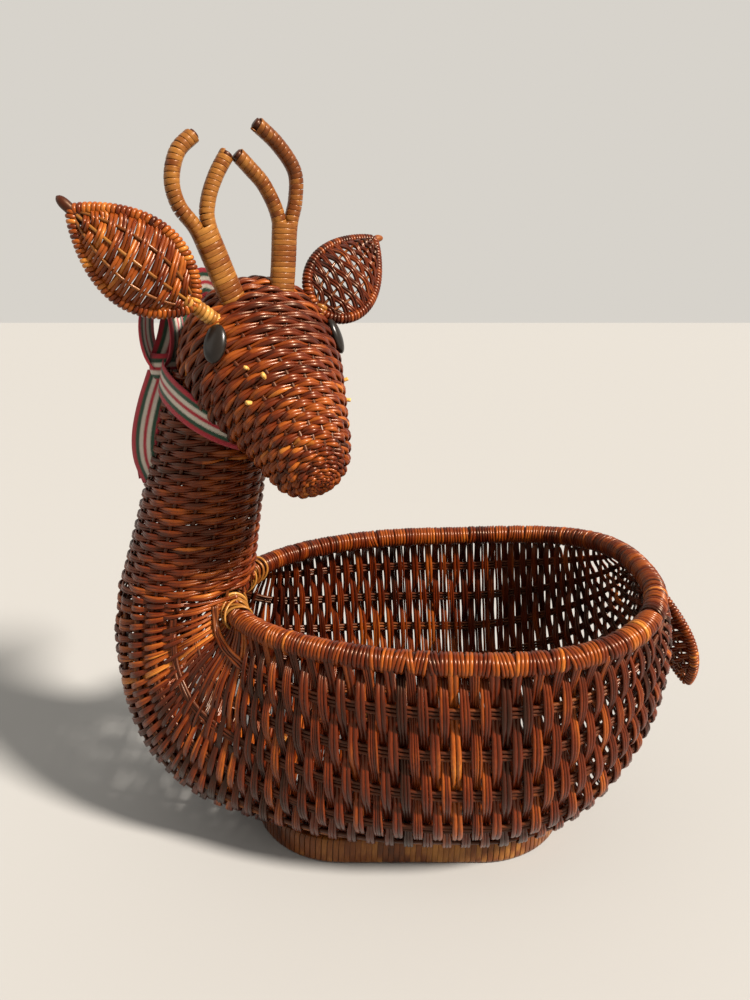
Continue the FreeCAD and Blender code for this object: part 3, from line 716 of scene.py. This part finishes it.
def round_weave(bundle, surface, turns, stakes, lift, pitch, reeds, thick, tone, vary):
    """Reeds woven in one long spiral: over and under an odd number of stakes."""
    steps = stakes * 8
    share = np.arange(int(turns * steps)) / steps
    for reed in range(reeds):
        offset = (reed - (reeds - 1) / 2) / reeds
        point, normal = surface(share + offset * 0.92, 2 * np.pi * share)
        wave = np.cos(share * np.pi * stakes)
        step = np.linalg.norm(np.gradient(point, axis=0), axis=1)
        calm = np.clip(step / np.median(step) * 1.4, 0.15, 1)
        wide = pitch / reeds * (1.28 + 0.40 * wave) * (0.85 + 0.15 * calm)
        row = share.astype(int)
        stitch = (share * stakes / 2 + reed * 0.37).astype(int)
        drift = rng.normal(0, vary * 0.6, row.max() + 1)[row]
        drift = drift + rng.normal(0, vary, stitch.max() + 1)[stitch]
        nudge = rng.normal(0, 0.12, len(share) // 11 + 2)
        nudge = np.interp(np.arange(len(share)), np.arange(len(nudge)) * 11, nudge)
        bundle.strand(point + normal * (wave * lift * calm + nudge * 0.6)[:, None], normal,
                      wide, thick, tone + drift)


NECK_LOW, NECK_HIGH, NECK_PITCH, NECK_STAKES = 149.0, 274.0, 3.1, 17


def neck_surface(row, angle):
    z = NECK_LOW + row * NECK_PITCH
    centre, radius = neck_ring(z)
    outward = np.stack([np.cos(angle), np.sin(angle), 0 * angle], axis=-1)
    return centre + outward * radius[:, None], outward


def weave_neck():
    neck = Bundle()
    round_weave(neck, neck_surface, (NECK_HIGH - NECK_LOW) / NECK_PITCH, NECK_STAKES,
                1.15, NECK_PITCH, 2, 1.75, 0.40, 0.07)
    stakes = Bundle()
    for i in range(NECK_STAKES):
        angle = 2 * np.pi * i / NECK_STAKES
        z = np.linspace(NECK_LOW - 6, NECK_HIGH, 30)
        centre, radius = neck_ring(z)
        outward = vec(math.cos(angle), math.sin(angle), 0)
        stakes.strand(centre + outward * radius[:, None], outward, 2.2, 1.2,
                      rng.normal(0.4, 0.1))
    return neck, stakes


neck, stakes = weave_neck()
neck.piece("neck_reeds", REED, "reed", ["neck_weave"])
stakes.piece("neck_stake_rods", ROD, "rod", ["neck_stakes"])


# ---------------------------------------------------------------- head

TURN, DIP, HEAD_LENGTH = math.radians(31.5), math.radians(40), 119.0
HEAD_AXIS = vec(math.sin(TURN) * math.cos(DIP), -math.cos(TURN) * math.cos(DIP), -math.sin(DIP))
HEAD_SIDE = vec(math.cos(TURN), math.sin(TURN), 0)
HEAD_UP = vec(math.sin(TURN) * math.sin(DIP), -math.cos(TURN) * math.sin(DIP), math.cos(DIP))
HEAD_START = vec(-114.8, 11.8, 301.3)
HEAD_WIDTHS = [(0, 0), (0.022, 14.5), (0.087, 28), (0.19, 36.5), (0.31, 39.5), (0.45, 37),
               (0.58, 30.5), (0.72, 24), (0.84, 19.5), (0.93, 15.5), (0.98, 9.5), (1, 4)]
HEAD_HEIGHTS = [(0, 0), (0.022, 15.5), (0.087, 29), (0.19, 36), (0.31, 37.5), (0.45, 35),
                (0.58, 31), (0.72, 26), (0.84, 22.5), (0.93, 17.5), (0.98, 9.5), (1, 4)]
# the muzzle leans a little to the deer's left
HEAD_SHIFTS = [(0, 3.5), (0.19, 3.2), (0.31, 2), (0.45, 2.2), (0.58, 4), (0.72, 5.2),
               (0.84, 5), (1, 4.2)]


def head_point(k, angle, offset=0.0):
    k, angle = np.broadcast_arrays(np.asarray(k, float), np.asarray(angle, float))
    wide = (through(HEAD_WIDTHS, k) + offset)[..., None]
    tall = (through(HEAD_HEIGHTS, k) + offset)[..., None]
    shift = through(HEAD_SHIFTS, k)[..., None]
    return (HEAD_START + HEAD_AXIS * (k * HEAD_LENGTH)[..., None]
            + HEAD_SIDE * (shift + wide * np.sin(angle)[..., None])
            + HEAD_UP * tall * np.cos(angle)[..., None])


def head_normal(k, angle):
    step = 2e-3
    k = np.clip(k, 2 * step, 1 - 2 * step)
    along = head_point(k + step, angle) - head_point(k - step, angle)
    around = head_point(k, angle + step) - head_point(k, angle - step)
    return unit(np.cross(along, around))


HEAD_PROFILE_K = np.linspace(0, 1, 400)
HEAD_PROFILE_RUN = runs_of(head_point(HEAD_PROFILE_K, np.full(400, np.pi / 2)))
HEAD_PITCH, HEAD_RIBS, NAPE_START, NOSE_END = 3.4, 23, 2.0, 4.0
HEAD_REED_OUT, HEAD_RIB_OUT = 1.4, 1.0


def head_surface(row, angle):
    """Rows from nape to nose; past the last ring they close over the nose end."""
    run = NAPE_START + row * HEAD_PITCH
    k = np.interp(run, HEAD_PROFILE_RUN, HEAD_PROFILE_K)
    normal = head_normal(k, angle)
    point = head_point(k, angle) + normal * HEAD_REED_OUT
    middle = HEAD_START + HEAD_AXIS * HEAD_LENGTH + HEAD_SIDE * HEAD_SHIFTS[-1][1]
    closing = np.clip((run - HEAD_PROFILE_RUN[-1]) / NOSE_END, 0, 1)[:, None]
    point = middle + (point - middle) * (1 - closing * 0.82) + HEAD_AXIS * closing * 0.8
    return point, unit(normal * (1 - closing) + HEAD_AXIS * closing)


def weave_head():
    turns = (HEAD_PROFILE_RUN[-1] + NOSE_END - NAPE_START) / HEAD_PITCH
    head = Bundle()
    round_weave(head, head_surface, turns, HEAD_RIBS, 1.0, HEAD_PITCH, 2, 2.0, 0.44, 0.10)
    ribs = Bundle()
    for i in range(HEAD_RIBS):
        angle = 2 * np.pi * i / HEAD_RIBS
        k = np.linspace(0.02, 0.985, 60)
        normal = head_normal(k, angle)
        ribs.strand(head_point(k, angle) + normal * HEAD_RIB_OUT, normal, 2.2, 1.2,
                    rng.normal(0.3, 0.1))
    return head, ribs


head, head_ribs = weave_head()
head.piece("head_reeds", REED, "reed", ["head_weave"])
head_ribs.piece("head_rib_rods", ROD, "rod", ["head_ribs"])


def reed_stubs():
    """Short pale ends of broken reed that stand out of both sides of the muzzle."""
    stubs = Bundle()
    for k, degrees, size in ((0.54, -42, 2.3), (0.61, -35, 2.8), (0.65, -59, 2.6),
                             (0.57, 66, 2.0), (0.66, 64, 2.2)):
        angle = math.radians(degrees)
        base, normal = head_point(k, angle), head_normal(k, angle)
        lean = unit(normal + HEAD_AXIS * rng.uniform(-0.5, 0.5))
        path = base + lean * np.linspace(1.0, 5.4, 8)[:, None]
        stubs.strand(path, HEAD_UP, size, size * 0.8, rng.normal(0.95, 0.04))
    return stubs


reed_stubs().piece("head_reed_stubs", CANE, "cane_light")


def bead_eye(name, k, degrees):
    """Oval wooden bead lying flat against the head."""
    angle = math.radians(degrees)
    normal = head_normal(k, angle)
    tall = unit(vec(0, 0, 1) - normal * normal[2])
    share = np.linspace(-0.998, 0.998, 33)
    girth = 2 * np.sqrt(1 - share ** 2)
    bead = Bundle()
    path = head_point(k, angle) + normal * EYE_OUT + tall * (share * EYE_LONG)[:, None]
    bead.strand(path, normal, girth * EYE_WIDE, girth * EYE_THICK, 0.5, sides=28)
    bead.piece(name + "_bead", BEAD, "bead", [name])


bead_eye("eye_right", 0.40, -50.5)
bead_eye("eye_left", 0.37, 57.0)


# ---------------------------------------------------------------- antlers

CROWN = vec(-92.6, -22.7, 312.2)
ANTLERS = {
    "right": {"outer": [(-15.5, -12), (-24.8, 11), (-32, 28.5), (-39.5, 38.5), (-42, 49.5),
                        (-38.5, 61.5), (-30, 69.5)],
              "inner": [(-9.5, -12), (-19.2, 13), (-26, 31), (-25.7, 41), (-21.3, 52.2),
                        (-14.8, 62.5)], "tone": 0.33},
    "left": {"outer": [(11.5, -12), (14.2, 11), (16, 31), (19.2, 43.5), (19.2, 56.3),
                       (10.8, 67.7), (-0.6, 76.6)],
             "inner": [(5.6, -12), (8.4, 11), (10, 33), (3.6, 48.3), (-4.1, 56.6),
                       (-10.6, 62.6)], "tone": 0.30},
}


def wrap_antlers():
    cane = Bundle()
    tips = Bundle()
    plane = unit(np.cross(HEAD_SIDE, vec(0, 0, 1)))
    for tines in ANTLERS.values():
        lines = {name: np.array([CROWN + HEAD_SIDE * s + vec(0, 0, h) for s, h in points])
                 for name, points in tines.items() if name != "tone"}
        beam = smooth_path((lines["outer"][:3] + lines["inner"][:3]) / 2, 30)
        sides = carried_sides(tangents_of(beam), HEAD_SIDE)
        flat_wrap(cane, beam, sides, np.cross(tangents_of(beam), sides), 4.2, 2.6, 0.6,
                  0.38, 0.06, oval=1.5, steps=18, square=5.0)
        for name, line in lines.items():
            path = smooth_path(line, 80)
            tones = (tines["tone"], 0.06) if name == "outer" else (0.36, 0.07)
            covered = path[path[:, 2] > beam[-1, 2] - 5][:-1]
            side = carried_sides(tangents_of(covered), plane)
            other = np.cross(tangents_of(covered), side)
            flat_wrap(cane, covered, side, other, 3.35, 2.5, 0.6, tones[0], tones[1],
                      square=5.0)
            rod_side = carried_sides(tangents_of(path), plane)
            tips.strand(path, rod_side, 4.9, 4.9, rng.normal(0.15, 0.03), sides=10)
    return cane, tips


antler_cane, antler_rods = wrap_antlers()
antler_cane.piece("antler_cane", CANE, "cane_light", [
    "antler_%s_%s" % (side, part) for side in ("left", "right")
    for part in ("beam_wrap", "outer_wrap", "inner_wrap")])
antler_rods.piece("antler_rods", ROD, "rod", [
    "antler_%s_%s" % (side, part) for side in ("left", "right")
    for part in ("outer_rod", "inner_rod")])


# ---------------------------------------------------------------- ears and tail

LEAF_REEDS = 2


def leaf(name, base, tip, across, length_bow, half_width, cup, tone, flip=1, belly=0.85,
         pitch=3.7):
    """Woven leaf: wrapped frame, ribs from base to tip and passes across them."""
    along = unit(tip - base)
    across = unit(across - along * np.dot(across, along))
    front = np.cross(along, across)
    length = np.linalg.norm(tip - base)

    def place(k, side, lift=0.0):
        k, side = np.broadcast_arrays(np.asarray(k, float), np.asarray(side, float))
        inside = np.clip(k, 0, 1)
        wide = half_width * np.sin(np.pi * inside ** belly) ** 0.8
        rise = (length_bow * np.sin(np.pi * k) + cup * np.sin(np.pi * k) * (side * side - 1)
                + lift)
        return (base + along * (k * length)[..., None] + across * (side * wide)[..., None]
                + front * rise[..., None])

    edge = np.linspace(0, 1, 60)
    loop = np.vstack([place(edge, -1.0), place(edge[::-1][1:-1], 1.0)])
    loop = spread(np.vstack([loop, loop[:1]]), 181)[:-1]
    tangent = tangents_of(loop, True)
    up = unit(front - tangent * dot(tangent, front))
    out = np.cross(tangent, up)
    wrap = Bundle()
    flat_wrap(wrap, loop, out, up, 2.2, 2.1, 1.6, tone + 0.06, 0.12, closed=True)
    weave = Bundle()
    ribs = Bundle()
    rib_k = np.linspace(0.03, 0.97, 50)
    for side in (-0.5, 0.0, 0.5):
        ribs.strand(place(rib_k, side, -0.5), front, 1.6, 1.1, rng.normal(0.28, 0.06))
    side = np.linspace(-1, 1, 41)
    rows = int(length * 0.90 / pitch)
    for row in range(rows):
        k = 0.05 + 0.90 * (row + 0.5) / rows
        sign = 1 if row % 2 else -1
        pass_tone = rng.normal(tone, 0.07)
        for reed in range(LEAF_REEDS):
            share = (reed - (LEAF_REEDS - 1) / 2) / LEAF_REEDS
            slant = flip * 0.05 * side - 0.05 * (1 - side * side)
            at = np.clip(k + share * 0.92 * pitch / length + slant, 0.02, 0.98)
            wave = sign * np.cos(np.pi * side * 2)
            lift = 1.4 * wave * (1 - np.abs(side) ** 6)
            weave.strand(place(at, side, lift), front, pitch / LEAF_REEDS * (1.2 + 0.3 * wave),
                         1.9, pass_tone + rng.normal(0, 0.06))
    wrap.piece(name + "_frame_wrap", REED, "reed", [name + "_frame"])
    weave.piece(name + "_reeds", REED, "reed", [name + "_weave"])
    ribs.piece(name + "_ribs", CANE, "rod", [name + "_midrib"])


def wrapped_stem(name, start, end, replaced):
    """Thick cane-wrapped rod that carries an ear from the head."""
    path = spread(np.array([start, end]), 20)
    tangent = tangents_of(path)
    side = carried_sides(tangent, vec(0.3, 0.1, 1))
    stem = Bundle()
    flat_wrap(stem, path, side, np.cross(tangent, side), 3.3, 2.2, 1.2, 0.52, 0.10)
    stem.strand(path, side, 5.4, 5.4, 0.5, sides=10)
    stem.piece(name, CANE, "reed", replaced)


def bare_tip(name, line, wide, tone):
    """Rounded end of an unwrapped rod."""
    path = smooth_path(line, 24)
    share = np.linspace(0, 1, 24)
    girth = wide * np.sqrt(np.clip(1 - np.clip((share - 0.72) / 0.28, 0, 1) ** 2, 0.02, 1))
    side = carried_sides(tangents_of(path), vec(0, 0, 1))
    tip = Bundle()
    tip.strand(path, side, girth, girth, tone, sides=12)
    tip.piece(name, ROD, "rod")


leaf("ear_right", vec(-122.0, -46.5, 307.4), vec(-170.8, -55.6, 348.0),
     vec(0.625, 0.113, 0.773), -3.0, 19.0, 9.0, 0.46)
leaf("ear_left", vec(-66.5, -4.0, 302.0), vec(-38.0, 48.0, 338.5),
     vec(0.70, 0.0, -0.71), -3.0, 18.5, 9.0, 0.36, -1, 0.68, 3.1)
leaf("tail", vec(129.5, -2, 143), vec(152.5, -8, 84), vec(-0.45, 0.89, 0),
     1.0, 13.0, 4.0, 0.46, 1, 1.2)
wrapped_stem("ear_right_stem_wrap", vec(-108.0, -36.0, 294.5), vec(-125.5, -47.5, 310.0),
             ["ear_right_stem"])
wrapped_stem("ear_left_stem_wrap", vec(-73.0, -11.0, 287.0), vec(-65.5, -2.5, 304.0),
             ["ear_left_stem"])
bare_tip("ear_right_tip", [vec(-164, -54, 342), vec(-171, -55.8, 348.5),
                           vec(-176.5, -56.5, 354)], 5.2, 0.15)
bare_tip("ear_left_tip", [vec(-41, 43, 334), vec(-37, 49.5, 339), vec(-32.5, 53, 340)],
         4.2, 0.75)


# ---------------------------------------------------------------- ribbon

RIBBON_WIDTH, RIBBON_THICK = 15.5, 0.8


def ribbon_material():
    """Woven tape with lengthwise stripes of red, green and white."""
    material, tree, shader = new_material("striped_tape")
    link = tree.links.new
    uv = node(tree, "ShaderNodeUVMap", uv_map="along")
    split = node(tree, "ShaderNodeSeparateXYZ")
    link(uv.outputs["UV"], split.inputs["Vector"])
    red, green, white = (0.34, 0.004, 0.016), (0.004, 0.042, 0.016), (0.52, 0.46, 0.38)
    stripes = ramp(tree, [(0.0, red), (0.16, green), (0.30, white), (0.44, red),
                          (0.56, white), (0.70, green), (0.84, red)])
    stripes.color_ramp.interpolation = "CONSTANT"
    weft = node(tree, "ShaderNodeTexWave", Scale=26.0, Distortion=0.6, Detail=1.0)
    link(uv.outputs["UV"], weft.inputs["Vector"])
    jagged = combine(tree, "MULTIPLY", combine(tree, "SUBTRACT", weft.outputs["Fac"], 0.5), 0.05)
    link(combine(tree, "ADD", split.outputs["Y"], jagged), stripes.inputs["Fac"])
    fuzz = node(tree, "ShaderNodeTexNoise", Scale=900.0, Detail=3.0)
    place = node(tree, "ShaderNodeTexCoord")
    link(place.outputs["Object"], fuzz.inputs["Vector"])
    mottle = node(tree, "ShaderNodeMix", data_type="RGBA", blend_type="MULTIPLY")
    mottle.inputs[0].default_value = 0.25
    link(stripes.outputs["Color"], mottle.inputs[6])
    link(fuzz.outputs["Color"], mottle.inputs[7])
    link(mottle.outputs[2], shader.inputs["Base Color"])
    shader.inputs["Roughness"].default_value = 0.85
    shader.inputs["Sheen Weight"].default_value = 0.15
    height = combine(tree, "ADD", weft.outputs["Fac"], fuzz.outputs["Fac"])
    bump = node(tree, "ShaderNodeBump", Strength=0.5, Distance=0.0003)
    link(height, bump.inputs["Height"])
    link(bump.outputs["Normal"], shader.inputs["Normal"])
    return material


TAPE = ribbon_material()


def tape(name, centre, wide_way, replaced, curl=0.0):
    """Closed flat tape along a line; wide_way gives its width direction."""
    count = len(centre)
    tangent = tangents_of(centre)
    wide_way = np.broadcast_to(wide_way, centre.shape)
    wide = unit(wide_way - tangent * dot(tangent, wide_way))
    face = np.cross(tangent, wide)
    across = np.linspace(-0.5, 0.5, 9)
    bend = curl * (0.25 - across ** 2) * 4
    sheet = centre[:, None] + wide[:, None] * (across * RIBBON_WIDTH)[None, :, None]
    sheet = sheet + face[:, None] * bend[None, :, None]
    front = sheet + face[:, None] * RIBBON_THICK / 2
    back = sheet - face[:, None] * RIBBON_THICK / 2
    ring = np.concatenate([front, back[:, ::-1]], axis=1)
    sides = ring.shape[1]
    stripe = np.concatenate([across, across[::-1]]) + 0.5
    points = (ring.reshape(-1, 3) - ORIGIN) * MM
    run = runs_of(centre)
    faces = []
    uvs = []
    for i in range(count - 1):
        for j in range(sides):
            k = (j + 1) % sides
            faces.append((i * sides + j, i * sides + k, (i + 1) * sides + k, (i + 1) * sides + j))
            uvs += [(run[i], stripe[j]), (run[i], stripe[k]),
                    (run[i + 1], stripe[k]), (run[i + 1], stripe[j])]
    for row in (0, count - 1):
        for j in range(8):
            quad = [row * sides + n for n in (j, sides - 1 - j, sides - 2 - j, j + 1)]
            faces.append(tuple(quad if row == 0 else quad[::-1]))
            marks = [(run[row], stripe[n - row * sides]) for n in quad]
            uvs += marks if row == 0 else marks[::-1]
    mesh = bpy.data.meshes.new(name)
    mesh.from_pydata(points.tolist(), [], faces)
    layer = mesh.uv_layers.new(name="along")
    layer.data.foreach_set("uv", (np.array(uvs) * UV_SCALE).ravel())
    mesh.polygons.foreach_set("use_smooth", np.ones(len(faces), bool))
    mesh.validate()
    mesh.materials.append(TAPE)
    piece = bpy.data.objects.new(name, mesh)
    bpy.context.scene.collection.objects.link(piece)
    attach(piece, "root")
    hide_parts(*replaced)
    return piece


COLLAR_TURN = np.radians(np.linspace(-170, 170, 90))
COLLAR_LOW, COLLAR_RISE, COLLAR_OUT = 237, 34, 3.4
collar_z = COLLAR_LOW + COLLAR_RISE * (0.5 - 0.5 * np.cos(COLLAR_TURN)) ** 1.3
collar_centre, collar_radius = neck_ring(collar_z)
collar_out = np.stack([np.cos(COLLAR_TURN), np.sin(COLLAR_TURN), 0 * COLLAR_TURN], axis=1)
tape("ribbon_band", collar_centre + collar_out * (collar_radius + COLLAR_OUT)[:, None],
     unit(vec(NECK_LEAN, NECK_SWAY, NECK_RISE)), ["ribbon_collar"])

KNOT = vec(-149.5, -6, 273)


def bow_line(reach, spread_out):
    t = np.linspace(0.06, 0.94, 40)
    out = (0.5 - 0.5 * np.cos(2 * np.pi * t))[:, None]
    return KNOT + reach * out + spread_out * np.sin(2 * np.pi * t)[:, None]


tape("ribbon_bow_front", bow_line(vec(2, -6, 38), vec(-8, 0, 0)), vec(0.2, 1, 0.05),
     ["ribbon_loop_front"], 0.8)
BACK_LOOP = [(0, 0, 2), (4, 4, 14), (7, 9, 28), (12, 14, 38), (19, 17, 43), (24, 19, 42),
             (27, 21, 36), (25, 21, 29), (19, 18, 21), (11, 12, 12), (4, 4, 3)]
tape("ribbon_bow_back", smooth_path([KNOT + vec(*p) for p in BACK_LOOP], 60),
     vec(-0.35, 0.1, 1), ["ribbon_loop_back"], 0.5)
tape("ribbon_end_left", smooth_path([KNOT + vec(*p) for p in (
    (-1, -4, -3), (-6, -8, -18), (-10, -10, -34), (-11, -9, -48), (-8, -7, -61))], 50),
    vec(1.0, -0.15, 0), ["ribbon_tail_left"], 0.7)
tape("ribbon_end_right", smooth_path([KNOT + vec(*p) for p in (
    (-2, 3, -3), (-8, 6, -20), (-13, 7, -38), (-14, 6, -50), (-13, 5, -62))], 50),
    vec(0.9, 0.4, 0), ["ribbon_tail_right"], -0.7)
knot_turn = np.radians(np.linspace(-165, 165, 36))
knot_line = KNOT + np.stack([6.2 * np.cos(knot_turn), 5.6 * np.sin(knot_turn),
                             0 * knot_turn], axis=1)
tape("ribbon_knot_band", knot_line, vec(0, 0, 1),
     ["ribbon_knot"], 1.2)


# ---------------------------------------------------------------- carried CAD nodes

for name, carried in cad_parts.items():
    if carried.hide_render:
        continue
    carried.data.materials.clear()
    carried.data.materials.append(CANE if name == "foot_ties" else ROD)


# ---------------------------------------------------------------- floor, light, camera

FLOOR_REACH = 4
floor_mesh = bpy.data.meshes.new("floor")
floor_mesh.from_pydata([(FLOOR_REACH * x, FLOOR_REACH * y, 0)
                        for x, y in ((-1, -1), (1, -1), (1, 1), (-1, 1))],
                       [], [(0, 1, 2, 3)])
floor = bpy.data.objects.new("floor", floor_mesh)
floor_paint, _, floor_shader = new_material("pale_floor")
floor_shader.inputs["Base Color"].default_value = (0.27, 0.267, 0.262, 1)
floor_shader.inputs["Roughness"].default_value = 0.7
floor_mesh.materials.append(floor_paint)
bpy.context.scene.collection.objects.link(floor)

bpy.context.scene.view_settings.view_transform = "Standard"
world = bpy.data.worlds.new("studio")
bpy.context.scene.world = world
world.use_nodes = True
world.node_tree.nodes["Background"].inputs["Color"].default_value = (1.0, 0.955, 0.88, 1)
world.node_tree.nodes["Background"].inputs["Strength"].default_value = 0.68


def area_light(name, place, aim, size, energy, colour):
    lamp = bpy.data.lights.new(name, "AREA")
    lamp.size = size
    lamp.energy = energy
    lamp.color = colour
    holder = bpy.data.objects.new(name, lamp)
    holder.location = place
    holder.rotation_euler = (Vector(aim) - Vector(place)).to_track_quat("-Z", "Y").to_euler()
    bpy.context.scene.collection.objects.link(holder)


sun = bpy.data.lights.new("key", "SUN")
sun.energy = 11.0
sun.angle = 0.16
sun.color = (1.0, 0.92, 0.82)
sun_holder = bpy.data.objects.new("key", sun)
sun_holder.rotation_euler = Vector((-0.85, 0.45, -0.85)).to_track_quat("-Z", "Y").to_euler()
bpy.context.scene.collection.objects.link(sun_holder)
area_light("fill", (-1.1, -0.4, 0.9), (0, 0, 0.2), 0.9, 2, (1.0, 0.95, 0.88))

lens = bpy.data.cameras.new("camera")
lens.lens = 27.04
lens.sensor_width = 36
lens.sensor_fit = "AUTO"
camera = bpy.data.objects.new("camera", lens)
camera.location = (-0.0208, -0.410, 0.326)
camera.rotation_euler = (math.radians(90 - 17.5), 0, 0)
bpy.context.scene.collection.objects.link(camera)
bpy.context.scene.camera = camera
